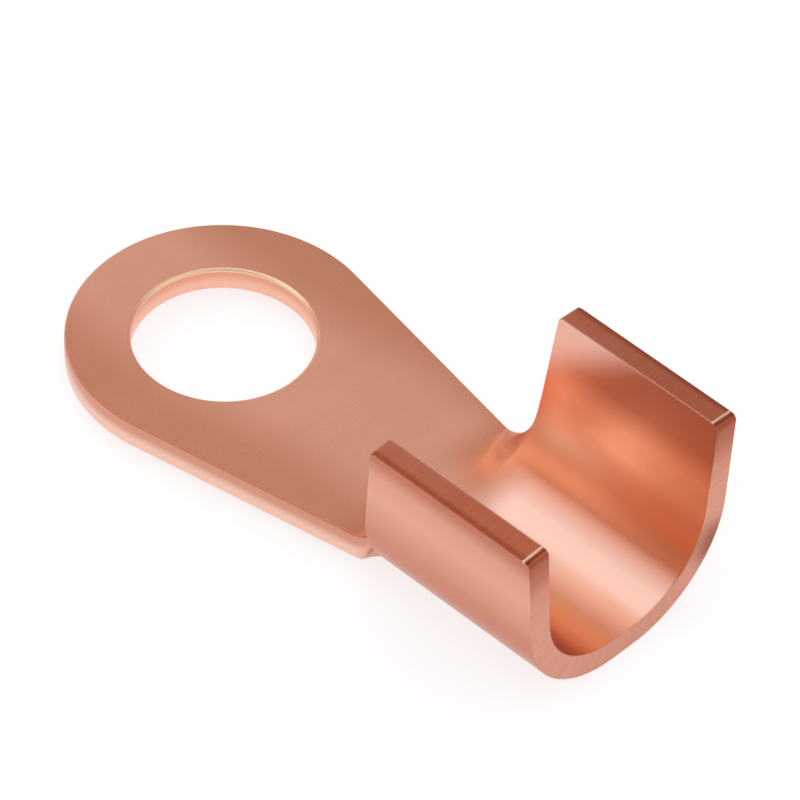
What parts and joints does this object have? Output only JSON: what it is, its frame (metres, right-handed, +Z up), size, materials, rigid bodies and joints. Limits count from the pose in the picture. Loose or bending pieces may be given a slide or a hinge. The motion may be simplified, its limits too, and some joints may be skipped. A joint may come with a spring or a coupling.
{
  "type": "open-barrel cable lug",
  "caption": "Sheet copper cable lug with a round stud hole in a flat ring tongue, tapering to a formed neck and an open U channel whose two upright wings fold over a conductor.",
  "frame": {"origin": "centre of the stud hole on the tongue's underside, the face that seats on a terminal", "axes": "+X from the stud hole to the mouth of the channel, +Y across the lug, +Z up out of the tongue's upper face, the way the wings stand"},
  "size_m": [0.0399, 0.0178, 0.0126],
  "materials": {
    "copper": "satin"
  },
  "bodies": {
    "root": {"lug": "copper"}
  },
  "joints": []
}
